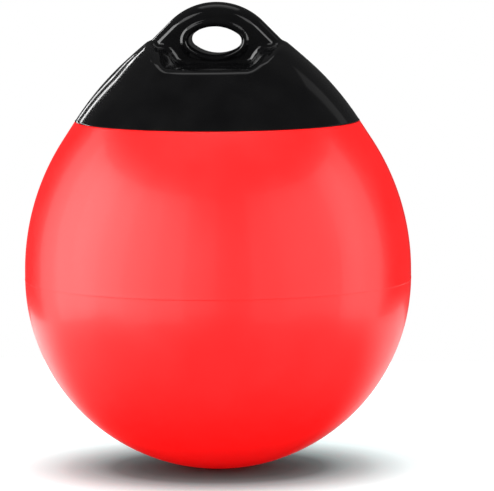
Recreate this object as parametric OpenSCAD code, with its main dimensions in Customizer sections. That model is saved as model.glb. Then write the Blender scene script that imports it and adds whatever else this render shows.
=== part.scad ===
// Inflatable mooring buoy: a pear-shaped soft vinyl float with a moulded head that carries a rope eye.
// Heights in the sizes below are measured from the buoy's lowest point.
// The drawn part stands with its waterline at zero, its rope eye looking along Y.

/* [Float] */
// Radius of the float at its belly
body_r = 150; // [140:1:165]
// Height of the upright band round the belly
belly_band = 5; // [2:0.5:12]
// Radius of the flank's arc between belly and shoulder
flank_r = 185; // [175:1:205]
// Slope of the shoulder cone, measured from upright
cone_angle = 33; // [31:0.5:35]
// Thickness of the float's vinyl wall
shell_wall = 3.2; // [2.5:0.1:5]
// Height of the mould's parting seam
seam_z = 148; // [130:0.5:150]
// Radius of the seam's bead
seam_r = 1.2; // [0.8:0.1:2]
// How far the bead stands proud of the wall
seam_proud = 0.4; // [0.2:0.05:0.6]
// Depth of the empty float in sea water
draught = 62; // [50:1:90]

/* [Joint] */
// Height of the joint line above the start of the shoulder cone
joint_rise = 15.2; // [12:0.2:18]
// Height over which the head laps the float's neck
lap = 14; // [10:0.5:18]
// Thickness of the head's skirt over the neck
skirt_wall = 3.6; // [3:0.1:5]
// Thickness of the float's neck inside the skirt
neck_wall = 3.2; // [2.5:0.1:4]
// Room for the bond between neck and skirt
bond_gap = 0.2; // [0.1:0.05:0.4]
// Room above the neck's rim
rim_gap = 0.5; // [0.3:0.1:1]

/* [Head] */
// Radius of the arc of the head's shoulder
shoulder_r = 228; // [200:1:270]
// Height of the lug's root above the joint line
root_rise = 60.5; // [56:0.5:64]
// Half width of the lug's root
root_half = 53.6; // [50:0.2:56]
// Thickness of the head's wall above the neck
head_wall = 9; // [7:0.2:11]
// Height of the head's hollow above the joint line
hollow_rise = 31; // [28:0.5:34]
// Height of the bevel round the hollow's ceiling
hollow_bevel = 10; // [5:0.5:14]
// Width of that bevel
hollow_lean = 20; // [15:0.5:25]

/* [Lug] */
// Radius of the lug's crown
crown_r = 51; // [48:0.5:54]
// Height of the crown's centre above the joint line
crown_rise = 41; // [39:0.5:43]
// Length of the lug's straight flanks, down into the head
lug_leg = 40; // [34:0.5:44]
// Thickness of the lug between its faces
lug_t = 30; // [26:0.5:34]
// Radius of the lug's rounded rim
rim_r = 22; // [18:0.2:26]
// Height of the pocket's centre above the joint line
pocket_rise = 114.2; // [113:0.2:116]
// Radius of the pocket
pocket_r = 70; // [68:0.1:72]
// Radius of the fillet at the lug's foot
pocket_fillet = 3; // [2:0.1:3.4]

/* [Rope eye] */
// Height of the eye's middle above the joint line
eye_rise = 62.8; // [62:0.2:64]
// Width of the eye
eye_w = 41; // [38:0.6:44]
// Radius of the eye's round ends
eye_end_r = 5.875; // [4.975:0.3:6.775]
// Radius of the eye's lip
lip_r = 6; // [5:0.1:6.5]
// Share of the lip's radius that lies inside the lug's faces
lip_share = 0.9; // [0.7:0.02:0.96]

/* [Valve] */
// Height of the valve above the joint line
valve_rise = 25; // [23:0.5:27]
// Radius of the valve bush's flange
flange_r = 9; // [8:0.1:11]
// Thickness of the flange
flange_t = 2.2; // [1.8:0.1:3]
// Depth of the flange's face under the head's flank
flange_sink = 0.5; // [0.4:0.1:1]
// Radius of the bush's sleeve
sleeve_r = 6; // [5.6:0.1:7]
// Length of the sleeve under the flange
sleeve_len = 15; // [13:0.5:20]
// Radius of the plug's head
plug_head_r = 4.6; // [4.2:0.1:5]
// Thickness of the plug's head
plug_head_t = 1.4; // [1.2:0.1:1.8]
// Radius of the plug's stem
plug_r = 3.2; // [2.8:0.1:3.6]
// Radius of the needle's hole
needle_r = 1.1; // [0.9:0.1:1.4]
// Room round each part of the valve
valve_gap = 0.2; // [0.1:0.05:0.3]

/* [Hidden] */
$fn = 96;
reach = 400;
belly_z = body_r + belly_band;
flank_in = body_r - flank_r;

function arc_r(inset) = flank_in + (flank_r - inset) * cos(cone_angle);
function arc_z(inset) = belly_z + (flank_r - inset) * sin(cone_angle);
function cone_at(z, inset) = arc_r(inset) - (z - arc_z(inset)) * tan(cone_angle);

joint_z = arc_z(0) + joint_rise;
neck_inset = skirt_wall + bond_gap;
neck_z = joint_z + lap - rim_gap;
band_z = arc_z(neck_inset + neck_wall);

joint_r = cone_at(joint_z, 0);
root_z = joint_z + root_rise;
root_run = sqrt(pow(joint_r - root_half, 2) + pow(root_rise, 2));
root_turn = atan2(root_rise, joint_r - root_half);
shoulder_back = sqrt(pow(shoulder_r, 2) - pow(root_run / 2, 2));
shoulder_cx = (joint_r + root_half) / 2 - shoulder_back * sin(root_turn);
shoulder_cz = (joint_z + root_z) / 2 - shoulder_back * cos(root_turn);

lug_slope = 45;
crown_z = joint_z + crown_rise;
cap_drop = rim_r / 3;
cap_z = crown_z + crown_r - cap_drop;
hollow_z = joint_z + hollow_rise;
bevel_z = hollow_z - hollow_bevel;

eye_z = joint_z + eye_rise;
eye_end_x = eye_w / 2 - eye_end_r;
// The eye's two wide arcs run on from its round ends along a 3-4-5 slope
arch_slope = [0.6, 0.8];
arch_drop = eye_end_x * arch_slope.y / arch_slope.x;
arch_r = eye_end_r + eye_end_x / arch_slope.x;
lip_in = lip_r * lip_share;
throat = lug_t / 2 - lip_in;
lip_reach = throat + (lip_in + lip_r) / 2;
eye_out = arch_r + 2 * lip_r;

valve_z = joint_z + valve_rise;
valve_tilt = asin((valve_z - shoulder_cz) / shoulder_r);
valve_y = shoulder_cx + shoulder_r * cos(valve_tilt);
seat_deep = flange_sink + flange_t;

// Half section of the pear, drawn inset by a wall's thickness, up to a given height
module pear(inset, top_z) {
    intersection() {
        translate([0, body_r]) circle(body_r - inset);
        square([body_r, body_r]);
    }
    translate([0, body_r]) square([body_r - inset, belly_band]);
    intersection() {
        translate([flank_in, belly_z]) circle(flank_r - inset);
        translate([0, belly_z]) square([body_r, arc_z(inset) - belly_z]);
    }
    polygon([
        [0, arc_z(inset)],
        [arc_r(inset), arc_z(inset)],
        [cone_at(top_z, inset), top_z],
        [0, top_z]
    ]);
}

// Half section of the float's air space: thin wall below, stiffer wall up through the neck
module air_space() {
    intersection() {
        pear(shell_wall, joint_z);
        square([reach, band_z]);
    }
    intersection() {
        pear(neck_inset + neck_wall, neck_z + lap);
        translate([0, band_z - rim_gap]) square([reach, reach]);
    }
}

module seam_bead() {
    seam_at = sqrt(body_r * body_r - (body_r - seam_z) * (body_r - seam_z));
    translate([seam_at + seam_proud - seam_r, seam_z]) circle(seam_r);
}

module float_shell() {
    color([0.93, 0.08, 0.09])
    translate([0, 0, -draught])
    rotate_extrude()
    difference() {
        union() {
            pear(0, joint_z);
            pear(neck_inset, neck_z);
            seam_bead();
        }
        air_space();
    }
}

// Half section of the head's outside, from the joint line up to inside the lug's crown
module dome_section() {
    intersection() {
        translate([shoulder_cx, shoulder_cz]) circle(shoulder_r);
        translate([0, joint_z]) square([reach, cap_z - joint_z]);
    }
}

// Half section of the head's hollow: a socket for the float's neck and the air space above it
module hollow_section() {
    socket_z = joint_z + lap;
    polygon([
        [0, joint_z - lap],
        [cone_at(joint_z - lap, skirt_wall), joint_z - lap],
        [cone_at(socket_z, skirt_wall), socket_z],
        [cone_at(socket_z, head_wall), socket_z],
        [cone_at(bevel_z, head_wall), bevel_z],
        [cone_at(bevel_z, head_wall) - hollow_lean, hollow_z],
        [0, hollow_z]
    ]);
}

// Section across the lug, from the crown's centre out to its rounded rim
module rim_section() {
    rim_x = crown_r - rim_r;
    translate([0, -rim_r]) square([rim_x, 2 * rim_r]);
    intersection() {
        translate([rim_x, 0]) circle(rim_r);
        translate([rim_x, -2 * rim_r]) square([2 * rim_r, 4 * rim_r]);
    }
}

module lug_leg_blank() {
    rotate([0, 0, lug_slope])
    rotate([90, 0, 0])
    linear_extrude(height = lug_leg)
    rim_section();
}

// The lug before its faces are cut: a turned crown and two straight legs that run into the dome
module lug_blank() {
    translate([0, 0, crown_z])
    rotate([90, 0, 0]) {
        rotate([0, 0, lug_slope])
        rotate_extrude(angle = 180 - 2 * lug_slope)
        rim_section();
        lug_leg_blank();
        mirror([1, 0, 0]) lug_leg_blank();
    }
}

// One pocket beside the lug: its flat end is the lug's face, with a fillet at the lug's foot
module pocket() {
    near = lug_t / 2;
    translate([0, 0, joint_z + pocket_rise])
    rotate([-90, 0, 0])
    rotate_extrude() {
        translate([0, near]) square([pocket_r - pocket_fillet, body_r]);
        translate([0, near + pocket_fillet]) square([pocket_r, body_r - pocket_fillet]);
        intersection() {
            translate([pocket_r - pocket_fillet, near + pocket_fillet]) circle(pocket_fillet);
            translate([pocket_r - pocket_fillet, near - pocket_fillet])
                square(2 * pocket_fillet);
        }
    }
}

// Section of the eye's clearance, out from a centre, with the lip's rounding taken out at its edge
module lip_section(edge_x) {
    difference() {
        translate([0, -lip_reach]) square([edge_x + lip_r, 2 * lip_reach]);
        translate([edge_x, -throat]) square([2 * lip_r, 2 * throat]);
        for (side = [-1, 1])
            intersection() {
                translate([edge_x + lip_r, side * throat]) circle(lip_r);
                translate([edge_x - lip_r, side < 0 ? -throat - 2 * lip_r : throat])
                    square([3 * lip_r, 2 * lip_r]);
            }
    }
}

// A stretch of the eye's edge turned round a centre, kept inside an outline
module eye_arc(centre, edge_r, outline) {
    intersection() {
        translate(centre) rotate_extrude() lip_section(edge_r);
        linear_extrude(height = 4 * lip_reach, center = true) polygon(outline);
    }
}

// The rope eye: an oval of two round ends and two wide arcs
module rope_eye() {
    end = [eye_end_x, 0];
    meet = end + eye_out / arch_slope.y * arch_slope;
    translate([0, 0, eye_z])
    rotate([90, 0, 0])
    for (half = [0, 1]) {
        mirror([half, 0, 0])
            eye_arc(end, eye_end_r, [end, [meet.x, -meet.y], [2 * meet.x, 0], meet]);
        mirror([0, half, 0])
            eye_arc([0, -arch_drop], arch_r, [end, meet, [-meet.x, meet.y], -end]);
    }
}

// Puts a shape on the valve's axis, with zero on the head's flank and Z pointing out of it
module on_valve() {
    translate([0, valve_y, valve_z]) rotate([valve_tilt - 90, 0, 0]) children();
}

module valve_seat() {
    on_valve() {
        translate([0, 0, -seat_deep]) cylinder(r = flange_r + valve_gap, h = 2 * seat_deep);
        translate([0, 0, -2 * sleeve_len]) cylinder(r = sleeve_r + valve_gap, h = 2 * sleeve_len);
    }
}

module eye_head() {
    color([0.05, 0.05, 0.055])
    translate([0, 0, -draught])
    difference() {
        union() {
            rotate_extrude() dome_section();
            lug_blank();
        }
        pocket();
        mirror([0, 1, 0]) pocket();
        rope_eye();
        rotate_extrude() hollow_section();
        valve_seat();
    }
}

module valve_bush() {
    seat_t = plug_head_t + valve_gap;
    color([0.12, 0.12, 0.125])
    translate([0, 0, -draught])
    on_valve()
    translate([0, 0, -seat_deep])
    difference() {
        union() {
            cylinder(r = flange_r, h = flange_t);
            translate([0, 0, -sleeve_len]) cylinder(r = sleeve_r, h = sleeve_len + flange_t / 2);
        }
        translate([0, 0, flange_t - seat_t]) cylinder(r = plug_head_r + valve_gap, h = 2 * seat_t);
        translate([0, 0, -2 * sleeve_len]) cylinder(r = plug_r + valve_gap, h = 3 * sleeve_len);
    }
}

module valve_plug() {
    under_head = -flange_sink - plug_head_t - valve_gap;
    color([0.2, 0.2, 0.2])
    translate([0, 0, -draught])
    on_valve()
    translate([0, 0, under_head])
    difference() {
        union() {
            cylinder(r = plug_head_r, h = plug_head_t);
            translate([0, 0, -sleeve_len]) cylinder(r = plug_r, h = sleeve_len + plug_head_t / 2);
        }
        translate([0, 0, -2 * sleeve_len]) cylinder(r = needle_r, h = 3 * sleeve_len);
    }
}

float_shell();
eye_head();
valve_bush();
valve_plug();
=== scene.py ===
from math import cos, hypot, pi, radians, sin, tan

import bmesh
import bpy
import numpy as np
from mathutils import Matrix, Vector


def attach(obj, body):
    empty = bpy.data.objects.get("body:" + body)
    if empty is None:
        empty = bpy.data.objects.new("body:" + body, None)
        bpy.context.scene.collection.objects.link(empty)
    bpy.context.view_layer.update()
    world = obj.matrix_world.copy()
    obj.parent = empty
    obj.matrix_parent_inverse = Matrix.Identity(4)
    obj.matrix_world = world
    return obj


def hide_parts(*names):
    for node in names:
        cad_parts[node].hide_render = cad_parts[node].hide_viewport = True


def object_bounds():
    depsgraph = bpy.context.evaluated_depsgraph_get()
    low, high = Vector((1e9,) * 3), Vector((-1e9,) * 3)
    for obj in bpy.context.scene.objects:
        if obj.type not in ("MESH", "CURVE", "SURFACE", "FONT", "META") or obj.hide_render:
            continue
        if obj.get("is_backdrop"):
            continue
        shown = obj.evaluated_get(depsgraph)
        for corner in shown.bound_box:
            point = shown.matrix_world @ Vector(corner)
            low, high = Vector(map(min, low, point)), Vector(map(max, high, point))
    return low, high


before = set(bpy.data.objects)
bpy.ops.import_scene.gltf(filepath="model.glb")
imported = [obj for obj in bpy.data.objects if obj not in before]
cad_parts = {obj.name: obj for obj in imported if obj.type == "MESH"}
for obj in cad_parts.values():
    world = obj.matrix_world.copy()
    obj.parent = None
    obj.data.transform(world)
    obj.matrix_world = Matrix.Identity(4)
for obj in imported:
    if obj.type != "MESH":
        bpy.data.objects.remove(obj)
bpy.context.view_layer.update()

# Float: the buoy's body, a hollow pear of soft red vinyl about 3 mm thick, moulded in one piece and
# pumped up tight. A thin parting line rings it under the belly, and its neck steps in at the top so
# that the head's skirt laps over it flush.
BODY_R = 0.150
BODY_Z = 0.088
BELLY_TOP_Z = 0.093
FLANK_R = 0.185
FLANK_STEPS = 36
CONE_LEAN = radians(33)
JOINT_Z = 0.208958
FLOAT_EDGE = ((0.00045, -0.0007), (0.0001, -0.0003), (-0.0004, 0))
NECK_STEP = 0.0046
NECK_RISE = 0.0135
VINYL_T = 0.0032
SEAM_Z = 0.0860
SEAM_BEAD_MM = ((-1.1, 0), (-0.7, 0.02), (-0.35, 0.055), (0, 0.07), (0.35, 0.055), (0.7, 0.02), (1.1, 0))
HAIR = 0.00001


def pick(test):
    """Selects, in edit mode, the points of the active mesh that pass a test, and what lies between them."""
    mesh = bmesh.from_edit_mesh(bpy.context.object.data)
    for part in (*mesh.faces, *mesh.edges, *mesh.verts):
        part.select = False
    for point in mesh.verts:
        point.select = test(point.co)
    mesh.select_flush(True)
    bmesh.update_edit_mesh(bpy.context.object.data)


def next_ring(radius, height):
    """Extrudes the selected ring round the Z axis to a new radius and height."""
    mesh = bmesh.from_edit_mesh(bpy.context.object.data)
    point = next(v.co.copy() for v in mesh.verts if v.select)
    grow = radius / hypot(point.x, point.y)
    bpy.ops.mesh.extrude_region_move(TRANSFORM_OT_translate={"value": (0, 0, height - point.z)})
    bpy.ops.transform.resize(value=(grow, grow, 1), center_override=(0, 0, height))


def start_piece(name):
    """Names the primitive just added, puts its place into its mesh and opens it for editing."""
    piece = bpy.context.object
    piece.name = piece.data.name = name
    bpy.ops.object.transform_apply(location=True, rotation=True, scale=True)
    bpy.ops.object.mode_set(mode="EDIT")
    bpy.ops.mesh.select_mode(type="VERT")
    return piece


def close_piece(piece, sharp_angle):
    """Merges doubles, turns the faces outwards and shades the piece smooth up to an angle."""
    bpy.ops.mesh.select_all(action="SELECT")
    bpy.ops.mesh.remove_doubles(threshold=HAIR)
    bpy.ops.mesh.normals_make_consistent(inside=False)
    bpy.ops.object.mode_set(mode="OBJECT")
    bpy.ops.object.shade_smooth_by_angle(angle=sharp_angle)


bpy.ops.object.select_all(action="DESELECT")
bpy.ops.mesh.primitive_uv_sphere_add(segments=160, ring_count=120, radius=BODY_R, location=(0, 0, BODY_Z))
float_body = start_piece("float_body")
pick(lambda co: co.z > BODY_Z + HAIR)
bpy.ops.mesh.delete(type="VERT")
pick(lambda co: co.z > BODY_Z - HAIR)
next_ring(BODY_R, BELLY_TOP_Z)
for step in range(1, FLANK_STEPS + 1):
    lean = CONE_LEAN * step / FLANK_STEPS
    next_ring(BODY_R - FLANK_R + FLANK_R * cos(lean), BELLY_TOP_Z + FLANK_R * sin(lean))
cone_r = BODY_R - FLANK_R + FLANK_R * cos(CONE_LEAN)
cone_z = BELLY_TOP_Z + FLANK_R * sin(CONE_LEAN)
joint_r = cone_r - (JOINT_Z - cone_z) * tan(CONE_LEAN)
for wider, higher in FLOAT_EDGE:
    next_ring(joint_r + wider, JOINT_Z + higher)
next_ring(joint_r - NECK_STEP, JOINT_Z)
next_ring(joint_r - NECK_STEP - NECK_RISE * tan(CONE_LEAN), JOINT_Z + NECK_RISE)
for offset, proud in SEAM_BEAD_MM:
    seam_at = SEAM_Z + offset / 1000
    bpy.ops.mesh.select_all(action="SELECT")
    bpy.ops.mesh.bisect(plane_co=(0, 0, seam_at), plane_no=(0, 0, 1))
    pick(lambda co: abs(co.z - seam_at) < HAIR)
    grow = 1 + proud / 1000 / BODY_R
    bpy.ops.transform.resize(value=(grow, grow, 1), center_override=(0, 0, seam_at))
close_piece(float_body, radians(40))
wall = float_body.modifiers.new("wall", "SOLIDIFY")
wall.thickness = VINYL_T
wall.offset = -1
bpy.ops.object.modifier_apply(modifier=wall.name)


def new_finish(name, base, roughness, coat, coat_roughness, ior):
    """A moulded plastic's material: its shader with the even values set, and the piece's own coordinates."""
    finish = bpy.data.materials.new(name)
    finish.use_nodes = True
    nodes, links = finish.node_tree.nodes, finish.node_tree.links
    shader = nodes["Principled BSDF"]
    shader.inputs["Base Color"].default_value = (*base, 1)
    shader.inputs["Roughness"].default_value = roughness
    shader.inputs["IOR"].default_value = ior
    shader.inputs["Coat Weight"].default_value = coat
    shader.inputs["Coat Roughness"].default_value = coat_roughness
    place = nodes.new("ShaderNodeTexCoord")
    return finish, nodes, links, shader, place.outputs["Object"]


def stretch(nodes, links, value, start, end, low, high):
    """A value taken from one range to another and held at both ends."""
    spread = nodes.new("ShaderNodeMapRange")
    spread.inputs["From Min"].default_value = start
    spread.inputs["From Max"].default_value = end
    spread.inputs["To Min"].default_value = low
    spread.inputs["To Max"].default_value = high
    links.new(value, spread.inputs["Value"])
    return spread.outputs["Result"]


def mottle(nodes, links, place, scale, detail, low=0, high=1):
    """A soft cloudy pattern of a given size, stretched between two values."""
    cloud = nodes.new("ShaderNodeTexNoise")
    cloud.inputs["Scale"].default_value = scale
    cloud.inputs["Detail"].default_value = detail
    links.new(place, cloud.inputs["Vector"])
    return stretch(nodes, links, cloud.outputs["Fac"], 0.3, 0.7, low, high)


def skin(nodes, links, shader, height, depth):
    """A fine raised texture on the surface, its depth in metres."""
    bump = nodes.new("ShaderNodeBump")
    bump.inputs["Strength"].default_value = 1
    bump.inputs["Distance"].default_value = depth
    links.new(height, bump.inputs["Height"])
    links.new(bump.outputs["Normal"], shader.inputs["Normal"])


def tint(nodes, links, shader, share, first, second):
    """Colour that drifts between two close shades."""
    blend = nodes.new("ShaderNodeMix")
    blend.data_type = "RGBA"
    blend.inputs["A"].default_value = (*first, 1)
    blend.inputs["B"].default_value = (*second, 1)
    links.new(share, blend.inputs["Factor"])
    links.new(blend.outputs["Result"], shader.inputs["Base Color"])


RED = (0.95, 0.0042, 0.0046)
RED_DEEP = (0.88, 0.0034, 0.0042)
red_vinyl, nodes, links, shader, place = new_finish(
    "red_vinyl", RED, roughness=0.3, coat=0.12, coat_roughness=0.05, ior=1.5)
tint(nodes, links, shader, mottle(nodes, links, place, scale=14, detail=3), RED, RED_DEEP)
links.new(mottle(nodes, links, place, scale=30, detail=2, low=0.28, high=0.34), shader.inputs["Roughness"])
skin(nodes, links, shader, mottle(nodes, links, place, scale=900, detail=2), depth=0.000004)
float_body.data.materials.append(red_vinyl)
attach(float_body, "root")
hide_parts("float_shell")

# Head: the thick black moulding bonded over the float's neck. Its dome runs up into a flat lug with a
# lipped rope eye, a pocket with a leaning shelf on each side of the lug leaves room for the rope, and
# every edge is generously rounded as it comes from the mould.
DOME_R = 0.228
DOME_CX = -0.081669
DOME_CZ = 0.08592
CROWN_Z = 0.249958
CROWN_R = 0.051
LUG_HALF = 0.015
LUG_LOW_Z = 0.240
LUG_LOW_ROUND = 0.008
RIM_R = 0.020
RIDGE_ROUND = 0.003
POCKET_Z = 0.2534
POCKET_HALF = 0.030
POCKET_LEAN = radians(72)
POCKET_SPLAY = 0.13
POCKET_ROUND = 0.006
SHELF_Z = 0.2660
SHELF_LEAN = 0.17
SHELF_RISE_X = (0.034, 0.044, 0.054)
SHELF_RISE = (0, 0.001, 0.013)
SHELF_ROUND = 0.008
CREST_AT_Z = (0.256, 0.263, 0.272)
CREST_ROUND = (0.0045, 0.008, 0.016)
FOOT_AT_X = (0.022, 0.034, 0.047)
FOOT_ROUND = (0.005, 0.007, 0.004)
EYE_Z = 0.271758
EYE_END_X = 0.014625
EYE_END_R = 0.005875
ARCH_DROP = 0.0195
ARCH_R = 0.03025
ARCH_ENDS = (0.8, 0.6)
LIP_ROUND = 0.003
BEAD_R = 0.0025
BEAD_OUT = 0.0031
BEAD_SUNK = 0.0007
BEAD_ROUND = 0.0015

# The blank: dome, lug, pockets and eye put together roughly and given one even mesh.
SKIRT_LOW_Z = JOINT_Z - 0.008
BLANK_TOP_Z = 0.2955
BLANK_RINGS = 14
POCKET_BLANK_R = 0.07
POCKET_BLANK_L = 0.2
EYE_BLANK_R = 0.01
EYE_BLANK_L = 0.1
EYE_BLANK_SCALE = (1.85, 1.02, 1)
MESH_SIZE = 0.0012
ALONG_Y = (radians(90), 0, 0)


def carve(piece, operation):
    """Joins the primitive just added to a piece, or cuts it out, and removes it."""
    tool = bpy.context.object
    cut = piece.modifiers.new("cut", "BOOLEAN")
    cut.operation = operation
    cut.object = tool
    cut.solver = "EXACT"
    bpy.ops.object.select_all(action="DESELECT")
    bpy.context.view_layer.objects.active = piece
    piece.select_set(True)
    bpy.ops.object.modifier_apply(modifier=cut.name)
    bpy.data.objects.remove(tool)


def dome_at(height):
    """The dome's radius at a height."""
    return DOME_CX + (DOME_R ** 2 - (height - DOME_CZ) ** 2) ** 0.5


bpy.ops.object.select_all(action="DESELECT")
bpy.ops.mesh.primitive_circle_add(
    vertices=96, radius=dome_at(SKIRT_LOW_Z), fill_type="NGON", location=(0, 0, SKIRT_LOW_Z))
head = start_piece("head")
bpy.ops.mesh.select_all(action="SELECT")
for step in range(1, BLANK_RINGS + 1):
    height = SKIRT_LOW_Z + (BLANK_TOP_Z - SKIRT_LOW_Z) * step / BLANK_RINGS
    next_ring(dome_at(height), height)
close_piece(head, radians(40))
bpy.ops.mesh.primitive_cube_add(
    size=2 * CROWN_R, location=(0, 0, CROWN_Z), rotation=(0, radians(45), 0), scale=(1, RIM_R / CROWN_R, 1))
start_piece("lug_blank")
pick(lambda co: co.z > CROWN_Z + 1.3 * CROWN_R)
bpy.ops.mesh.bevel(offset=CROWN_R, segments=16, affect="EDGES", clamp_overlap=False)
bpy.ops.object.mode_set(mode="OBJECT")
carve(head, "UNION")
for side in (-1, 1):
    middle = (0, side * (LUG_HALF + POCKET_BLANK_L / 2), POCKET_Z + POCKET_BLANK_R)
    bpy.ops.mesh.primitive_cylinder_add(
        vertices=96, radius=POCKET_BLANK_R, depth=POCKET_BLANK_L, location=middle, rotation=ALONG_Y)
    carve(head, "DIFFERENCE")
bpy.ops.mesh.primitive_cylinder_add(
    vertices=64, radius=EYE_BLANK_R, depth=EYE_BLANK_L, location=(0, 0, EYE_Z), rotation=ALONG_Y,
    scale=EYE_BLANK_SCALE)
carve(head, "DIFFERENCE")
even_mesh = head.modifiers.new("even_mesh", "REMESH")
even_mesh.mode = "VOXEL"
even_mesh.voxel_size = MESH_SIZE
bpy.ops.object.modifier_apply(modifier=even_mesh.name)


# The finished form: the blank's points are laid on it, all above the part of the skirt that is cut off.
def round_in(a, b, radius):
    """The common part of two forms, with the edge between them rounded."""
    corner = np.hypot(np.maximum(a + radius, 0), np.maximum(b + radius, 0))
    return np.minimum(-radius, np.maximum(a, b)) + corner


def round_out(a, b, radius):
    """Two forms together, with a fillet between them."""
    corner = np.hypot(np.maximum(radius - a, 0), np.maximum(radius - b, 0))
    return np.maximum(radius, np.minimum(a, b)) - corner


def eye_outline(x, z):
    """How far a point lies outside the eye's oval of two round ends and two wide arcs."""
    x, z = np.abs(x), np.abs(z - EYE_Z)
    end = np.hypot(x - EYE_END_X, z) - EYE_END_R
    arch = np.hypot(x, z + ARCH_DROP) - ARCH_R
    return np.where(ARCH_ENDS[1] * z > ARCH_ENDS[0] * (x - EYE_END_X), arch, end)


def head_form(co):
    """How far a point lies outside the moulding's rounded form."""
    x, y, z = co.T
    out = np.abs(x)
    off_lug = np.abs(y) - LUG_HALF
    dome = np.hypot(np.hypot(x, y) - DOME_CX, z - DOME_CZ) - DOME_R
    wall = sin(POCKET_LEAN) * (out - POCKET_HALF - POCKET_SPLAY * off_lug) - cos(POCKET_LEAN) * (z - POCKET_Z)
    pocket = round_in(POCKET_Z - z, wall, POCKET_ROUND)
    shelf = SHELF_Z - SHELF_LEAN * off_lug + np.interp(out, SHELF_RISE_X, SHELF_RISE) - z
    hollow = round_out(pocket, shelf, SHELF_ROUND)
    up = z - CROWN_Z
    outline = np.where(out > up, (out + up) / 2 ** 0.5, np.hypot(x, up)) - CROWN_R
    rim = np.hypot(np.maximum(outline + RIM_R, 0), y) - RIM_R
    lug = round_in(round_in(rim, off_lug, RIDGE_ROUND), LUG_LOW_Z - z, LUG_LOW_ROUND)
    crest = np.interp(z, CREST_AT_Z, CREST_ROUND)
    foot = np.interp(out, FOOT_AT_X, FOOT_ROUND)
    body = round_out(round_in(dome, -hollow, crest), lug, foot)
    edge = eye_outline(x, z)
    bead = np.hypot(edge - BEAD_OUT, off_lug + BEAD_SUNK) - BEAD_R
    return round_in(round_out(body, bead, BEAD_ROUND), -edge, LIP_ROUND)


def settle(piece, form, rounds, above):
    """Lays the points of a piece that stand above a height on a form, easing the mesh between the passes."""
    longest_step, probe, least_slope = 0.002, 0.00001, 0.2
    for _ in range(rounds):
        bpy.ops.object.mode_set(mode="EDIT")
        bpy.ops.mesh.select_all(action="SELECT")
        bpy.ops.mesh.vertices_smooth(factor=0.5, repeat=2)
        bpy.ops.object.mode_set(mode="OBJECT")
        co = np.empty(len(piece.data.vertices) * 3)
        piece.data.vertices.foreach_get("co", co)
        co = co.reshape(-1, 3)
        for _ in range(4):
            away = form(co)
            slope = np.stack([(form(co + d) - form(co - d)) / (2 * probe) for d in np.eye(3) * probe], axis=1)
            steep = np.maximum((slope ** 2).sum(axis=1), least_slope)
            step = np.where(co[:, 2] > above, np.clip(away / steep, -longest_step, longest_step), 0)
            co = co - step[:, None] * slope
        piece.data.vertices.foreach_set("co", co.ravel())
        piece.data.update()


settle(head, head_form, rounds=5, above=JOINT_Z - 0.004)

# The skirt: trimmed just above the joint, then its rounded edge, the lap over the neck and the hollow inside.
TRIM_Z = JOINT_Z + 0.0008
SKIRT_EDGE = ((0.0001, 0.0004), (-0.00005, 0.0001), (-0.0004, 0))
SKIRT_INSIDE = ((0.10599, 0), (0.0969, 0.014), (0.09046, 0.014), (0.08591, 0.021), (0.06591, 0.031))
bpy.ops.object.mode_set(mode="EDIT")
bpy.ops.mesh.select_mode(type="VERT")
bpy.ops.mesh.select_all(action="SELECT")
bpy.ops.mesh.bisect(plane_co=(0, 0, TRIM_Z), plane_no=(0, 0, 1), clear_inner=True, threshold=HAIR / 100)
pick(lambda co: co.z < TRIM_Z + HAIR / 10)
for wider, higher in SKIRT_EDGE:
    next_ring(joint_r + wider, JOINT_Z + higher)
for radius, higher in SKIRT_INSIDE:
    next_ring(radius, JOINT_Z + higher)
bpy.ops.mesh.edge_face_add()
close_piece(head, radians(50))

# The valve's stepped seat, bored square to the back of the dome: each step's radius, inner end and outer end.
VALVE_AT = Vector((0, 0.091734, 0.233958))
VALVE_LEAN = radians(49.512)
VALVE_SEAT = ((0.0092, -0.0027, 0.01), (0.0062, -0.04, -0.001))
valve_axis = Vector((0, sin(VALVE_LEAN), cos(VALVE_LEAN)))
for radius, low, high in VALVE_SEAT:
    middle = VALVE_AT + valve_axis * (low + high) / 2
    bpy.ops.mesh.primitive_cylinder_add(
        vertices=64, radius=radius, depth=high - low, location=middle, rotation=(-VALVE_LEAN, 0, 0))
    carve(head, "DIFFERENCE")
bpy.ops.object.shade_smooth_by_angle(angle=radians(50))

BLACK = (0.0018, 0.0018, 0.0020)
BLACK_WORN = (0.0032, 0.0032, 0.0034)
black_vinyl, nodes, links, shader, place = new_finish(
    "black_vinyl", BLACK, roughness=0.1, coat=0, coat_roughness=0.03, ior=1.5)
tint(nodes, links, shader, mottle(nodes, links, place, scale=40, detail=3), BLACK, BLACK_WORN)
links.new(mottle(nodes, links, place, scale=60, detail=3, low=0.07, high=0.12), shader.inputs["Roughness"])
skin(nodes, links, shader, mottle(nodes, links, place, scale=700, detail=2), depth=0.000004)
head.data.materials.append(black_vinyl)
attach(head, "root")
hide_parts("eye_head")

# Valve bush: a turned-looking flanged sleeve of hard black plastic, pressed into a seat in the back of
# the head with its flange just under the surface.
BUSH_PROFILE_MM = (
    (6.0, -17.7), (6.0, -2.7), (8.7, -2.7), (9.0, -2.4), (9.0, -0.95), (8.85, -0.65), (8.5, -0.5),
    (7.4, -0.5), (7.2, -0.8), (6.6, -0.8), (6.4, -0.5), (5.3, -0.5), (4.95, -0.6), (4.8, -0.9),
    (4.8, -2.1), (3.4, -2.1), (3.4, -17.7))


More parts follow.
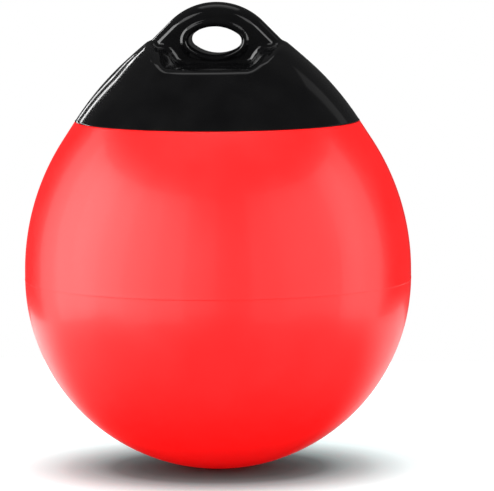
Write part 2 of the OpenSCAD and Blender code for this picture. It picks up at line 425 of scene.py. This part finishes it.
def turned(name, profile, segments):
    """A hollow turned piece from a closed run of (radius, height) in millimetres, stood on the valve's axis."""
    rings = [(radius / 1000, height / 1000) for radius, height in profile]
    bpy.ops.object.select_all(action="DESELECT")
    bpy.ops.mesh.primitive_circle_add(vertices=segments, radius=rings[0][0], location=(0, 0, rings[0][1]))
    piece = start_piece(name)
    bpy.ops.mesh.select_all(action="SELECT")
    for radius, height in (*rings[1:], rings[0]):
        next_ring(radius, height)
    close_piece(piece, radians(35))
    piece.data.transform(Matrix.Translation(VALVE_AT) @ Matrix.Rotation(-VALVE_LEAN, 4, "X"))
    return piece


valve_bush = turned("valve_bush_ring", BUSH_PROFILE_MM, segments=72)
SLEEVE_GREY = (0.02, 0.02, 0.021)
SLEEVE_PALE = (0.032, 0.032, 0.034)
valve_plastic, nodes, links, shader, place = new_finish(
    "valve_plastic", SLEEVE_GREY, roughness=0.4, coat=0, coat_roughness=0.1, ior=1.5)
tint(nodes, links, shader, mottle(nodes, links, place, scale=300, detail=3), SLEEVE_GREY, SLEEVE_PALE)
links.new(mottle(nodes, links, place, scale=500, detail=3, low=0.34, high=0.48), shader.inputs["Roughness"])
skin(nodes, links, shader, mottle(nodes, links, place, scale=2500, detail=2), depth=0.00001)
valve_bush.data.materials.append(valve_plastic)
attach(valve_bush, "root")
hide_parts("valve_bush")

# Valve plug: the soft rubber seal pushed into the bush. Its crowned head has a funnelled hole down the
# middle that an inflation needle opens.
PLUG_PROFILE_MM = (
    (3.2, -17.1), (3.2, -2.1), (4.3, -2.1), (4.6, -1.85), (4.6, -1.1), (4.4, -0.85), (3.9, -0.72),
    (2.6, -0.7), (2.0, -0.85), (1.5, -1.2), (1.1, -1.9), (1.1, -17.1))
valve_plug = turned("valve_plug_seal", PLUG_PROFILE_MM, segments=60)
RUBBER = (0.035, 0.035, 0.035)
RUBBER_DUSTY = (0.055, 0.054, 0.053)
valve_rubber, nodes, links, shader, place = new_finish(
    "valve_rubber", RUBBER, roughness=0.7, coat=0, coat_roughness=0.1, ior=1.45)
tint(nodes, links, shader, mottle(nodes, links, place, scale=500, detail=4), RUBBER, RUBBER_DUSTY)
links.new(mottle(nodes, links, place, scale=800, detail=3, low=0.62, high=0.78), shader.inputs["Roughness"])
skin(nodes, links, shader, mottle(nodes, links, place, scale=4000, detail=2), depth=0.00002)
valve_plug.data.materials.append(valve_rubber)
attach(valve_plug, "root")
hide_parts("valve_plug")

# Floor: a plain white table that the buoy's lowest point rests on. The camera sees its white with a painted
# shadow round that point, darker and less red close in, over the real shadow;
# the buoy's gloss sees a painted reflection of it, dark in the middle and brighter to the sides, and a painted
# glow that grows behind the buoy.
FLOOR_Z = -0.062
FLOOR_W = 0.9
FLOOR_D = 0.95
FLOOR_BACK = 0.15
FLOOR_WHITE = 0.9
# The painted glow that the buoy's gloss sees on the floor behind it: how far back it grows, and how bright.
PAINTED_GLOW_REACH = 0.16
PAINTED_GLOW_LEVEL = 0.8
# How far out from the contact the painted shadow reaches.
PAINTED_SHADOW_REACH = 0.30
# The floor's painted reflection in the buoy's gloss, left to right: dark in the middle, brighter to the sides.
FLOOR_PAINTED_REFLECTION = ((0, 0.7), (0.22, 0.5), (0.44, 0.06), (0.6, 0.05), (0.85, 0.2), (1, 0.35))
# The floor's white as the camera sees it, out from the contact: a painted shadow, darker and less red close in.
FLOOR_SEEN_PAINTED_SHADOW = (
    (0, 0.13, 0.40), (0.2, 0.138, 0.40), (0.27, 0.208, 0.55), (0.31, 0.36, 0.88), (0.36, 0.54, 1.15),
    (0.42, 0.74, 1.32), (0.5, 0.90, 1.36), (0.7, 1.0, 1.25), (1, 1.12, 1.18))


def run_of_shades(nodes, links, share, stops):
    """Colours that pass into each other from stop to stop, the first at 0 and the last at 1."""
    run = nodes.new("ShaderNodeValToRGB")
    shades = run.color_ramp.elements
    shades[0].color = (*stops[0][1], 1)
    shades[1].color = (*stops[-1][1], 1)
    for position, colour in stops[1:-1]:
        shades.new(position).color = (*colour, 1)
    links.new(share, run.inputs["Fac"])
    return run.outputs["Color"]


bpy.ops.object.select_all(action="DESELECT")
bpy.ops.mesh.primitive_plane_add(size=1, location=(0, FLOOR_BACK, FLOOR_Z), scale=(FLOOR_W, FLOOR_D, 1))
bpy.ops.object.transform_apply(location=True, rotation=True, scale=True)
floor = bpy.context.object
floor.name = "floor"
white_floor = bpy.data.materials.new("white_floor")
white_floor.use_nodes = True
nodes, links = white_floor.node_tree.nodes, white_floor.node_tree.links
shader = nodes["Principled BSDF"]
shader.inputs["Roughness"].default_value = 0.9
shader.inputs["Specular IOR Level"].default_value = 0
ray = nodes.new("ShaderNodeLightPath")
place = nodes.new("ShaderNodeTexCoord")
across = nodes.new("ShaderNodeSeparateXYZ")
links.new(place.outputs["Object"], across.inputs["Vector"])
# Painted reflection: the floor's grey in the buoy's gloss, set across its width.
sideways = stretch(nodes, links, across.outputs["X"], -FLOOR_W / 2, FLOOR_W / 2, 0, 1)
painted_reflection = run_of_shades(nodes, links, sideways, [(at, (grey, grey, grey)) for at, grey in FLOOR_PAINTED_REFLECTION])
mirrored = nodes.new("ShaderNodeMix")
mirrored.data_type = "RGBA"
mirrored.inputs["A"].default_value = (FLOOR_WHITE, FLOOR_WHITE, FLOOR_WHITE, 1)
links.new(painted_reflection, mirrored.inputs["B"])
links.new(ray.outputs["Is Glossy Ray"], mirrored.inputs["Factor"])
# Painted glow: the floor glows white in the buoy's gloss only, growing towards the back.
painted_glow = nodes.new("ShaderNodeMath")
painted_glow.operation = "MULTIPLY"
links.new(stretch(nodes, links, across.outputs["Y"], 0, PAINTED_GLOW_REACH, 0, PAINTED_GLOW_LEVEL), painted_glow.inputs[0])
links.new(ray.outputs["Is Glossy Ray"], painted_glow.inputs[1])
shader.inputs["Emission Color"].default_value = (1, 1, 1, 1)
links.new(painted_glow.outputs["Value"], shader.inputs["Emission Strength"])
# Painted shadow: the camera sees the floor darker and less red towards the buoy's lowest point.
reach = nodes.new("ShaderNodeVectorMath")
reach.operation = "DISTANCE"
reach.inputs[1].default_value = (0, 0, FLOOR_Z)
links.new(place.outputs["Object"], reach.inputs[0])
outwards = stretch(nodes, links, reach.outputs["Value"], 0, PAINTED_SHADOW_REACH, 0, 1)
painted_shadow = run_of_shades(nodes, links, outwards, [(at, (red, white, white)) for at, red, white in FLOOR_SEEN_PAINTED_SHADOW])
seen = nodes.new("ShaderNodeMix")
seen.data_type = "RGBA"
links.new(mirrored.outputs["Result"], seen.inputs["A"])
links.new(painted_shadow, seen.inputs["B"])
links.new(ray.outputs["Is Camera Ray"], seen.inputs["Factor"])
links.new(seen.outputs["Result"], shader.inputs["Base Color"])
floor.data.materials.append(white_floor)
floor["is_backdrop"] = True

# Studio: a white room. A wall of soft strips lights the float alone, boxes and rim strips of their own
# light the head and its valve alone, a front fill and a bounce card light both, and a top light is for all.
ROOM_SEEN = 1.0
ROOM_LIGHT = 0.8
ROOM_IN_GLOSS = 0.05
world = bpy.data.worlds.new("studio")
bpy.context.scene.world = world
world.use_nodes = True
nodes, links = world.node_tree.nodes, world.node_tree.links
ray = nodes.new("ShaderNodeLightPath")
around = stretch(nodes, links, ray.outputs["Is Glossy Ray"], 0, 1, ROOM_LIGHT, ROOM_IN_GLOSS)
level = nodes.new("ShaderNodeMapRange")
level.inputs["To Max"].default_value = ROOM_SEEN
links.new(around, level.inputs["To Min"])
links.new(ray.outputs["Is Camera Ray"], level.inputs["Value"])
links.new(level.outputs["Result"], nodes["Background"].inputs["Strength"])
nodes["Background"].inputs["Color"].default_value = (1, 1, 1, 1)

YAW = radians(6)
AIM_Z = 0.114
WALL_STRIPS = (
    (-118, 1.2), (-100, 2.6), (-82, 3.4), (-64, 2.8), (-46, 2.0), (-28, 1.5),
    (28, 0.7), (46, 0.95), (64, 1.0), (84, 1.9), (102, 1.3))
# Name, turn and rise in degrees, distance, width, height, level.
WALL_MIDDLE = ("light_wall", -10, 10, 4.2, 1.4, 4.3, 0.65)
HEAD_BOXES = (
    ("left_soft_box", -75, 18, 1.4, 0.9, 1.25, 5.5),
    ("left_top_box", -46, 43, 1.4, 0.5, 0.4, 2),
    ("right_soft_box", 54, 26, 1.4, 0.7, 1.1, 3),
    ("right_top_box", 30, 48, 1.4, 0.5, 0.35, 1.5),
    ("eye_card", 175, 6, 1.4, 0.1, 0.1, 1),
    ("right_back_strip", 133, 31, 1.5, 0.22, 0.5, 0.12),
    ("left_rim_strip", -138.9, 28.8, 0.4545, 0.02, 0.11, 5),
    ("left_rim_strip", -143.5, 35.8, 0.46, 0.06, 0.012, 5),
    ("left_rim_strip", -147.7, 24.4, 0.39, 0.018, 0.085, 3),
    ("left_rim_strip", -151.6, 30.6, 0.396, 0.06, 0.012, 3),
    ("left_rim_strip", -150.9, 36.3, 0.433, 0.06, 0.012, 5),
    ("back_light", 180, 61, 1.4, 0.8, 0.25, 0.2),
    ("back_light", 180, 64, 1.4, 0.8, 0.38, 0.2),
    ("back_light", 180, 67, 1.4, 0.8, 0.5, 0.2),
)
FRONT_FILL = ("front_fill", 0, 0, 2.6, 2.2, 2.0, 2.2)
FLOOR_BOUNCE = ("floor_bounce", 0, -52, 1.2, 1.2, 0.9, 2.4)
TOP_LIGHT = ("top_light", 0, 89, 1.6, 1.2, 1.2, 4)


def soft_box(name, turn, rise, distance, width, height, level):
    """A soft box seen from the buoy at a turn to the right of the camera and a rise above level."""
    turn, rise = radians(turn) + YAW, radians(rise)
    away = Vector((sin(turn) * cos(rise), -cos(turn) * cos(rise), sin(rise)))
    data = bpy.data.lights.new(name, "AREA")
    data.shape = "RECTANGLE"
    data.size = width
    data.size_y = height
    data.energy = level * pi * width * height
    lamp = bpy.data.objects.new(name, data)
    lamp.location = Vector((0, 0, AIM_Z)) + away * distance
    lamp.rotation_euler = away.to_track_quat("Z", "Y").to_euler()
    bpy.context.scene.collection.objects.link(lamp)
    return lamp


float_lamps = [soft_box("light_wall", turn, 8, 1.6, 0.51, 1.8, level) for turn, level in WALL_STRIPS]
float_lamps.append(soft_box(*WALL_MIDDLE))
head_lamps = [soft_box(*box) for box in HEAD_BOXES]
front_fill = soft_box(*FRONT_FILL)
floor_bounce = soft_box(*FLOOR_BOUNCE)
top_light = soft_box(*TOP_LIGHT)
for lamp in (front_fill, floor_bounce, top_light):
    lamp.visible_glossy = False
for name, lamps, pieces in (
    ("float_lit", float_lamps, (float_body,)),
    ("head_lit", head_lamps, (head, valve_bush, valve_plug)),
    ("buoy_lit", (front_fill, floor_bounce), (float_body, head, valve_bush, valve_plug)),
):
    lit = bpy.data.collections.new(name)
    for piece in pieces:
        lit.objects.link(piece)
    for lamp in lamps:
        lamp.light_linking.receiver_collection = lit
floor_bounce.light_linking.blocker_collection = bpy.data.collections["buoy_lit"]

# Camera: a long lens at the height of the buoy's belly, a little to the right of its front, looking
# slightly down and rolled by a hair. The buoy's axis and foot are set by their places in the picture.
CAMERA_RISE = radians(5.9)
CAMERA_AWAY = 3.73
ROLL = radians(0.3)
SENSOR_W = 36
PICTURE_W = 494
MIDDLE_PX = (247, 245.5)
AXIS_PX = 218
FOOT_PX = 468.5
LENS_PX = 4800
PIXEL = 0.0007776
right = Vector((cos(YAW), sin(YAW), 0))
away = Vector((sin(YAW) * cos(CAMERA_RISE), -cos(YAW) * cos(CAMERA_RISE), sin(CAMERA_RISE)))
aim = right * (MIDDLE_PX[0] - AXIS_PX) * PIXEL + Vector((0, 0, FLOOR_Z + (FOOT_PX - MIDDLE_PX[1]) * PIXEL))
data = bpy.data.cameras.new("camera")
data.sensor_width = SENSOR_W
data.lens = SENSOR_W * LENS_PX / PICTURE_W
camera = bpy.data.objects.new("camera", data)
camera.location = aim + away * CAMERA_AWAY
camera.rotation_euler = (away.to_track_quat("Z", "Y").to_matrix() @ Matrix.Rotation(-ROLL, 3, "Z")).to_euler()
bpy.context.scene.collection.objects.link(camera)
bpy.context.scene.camera = camera
bpy.context.scene.view_settings.view_transform = "Standard"

low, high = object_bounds()
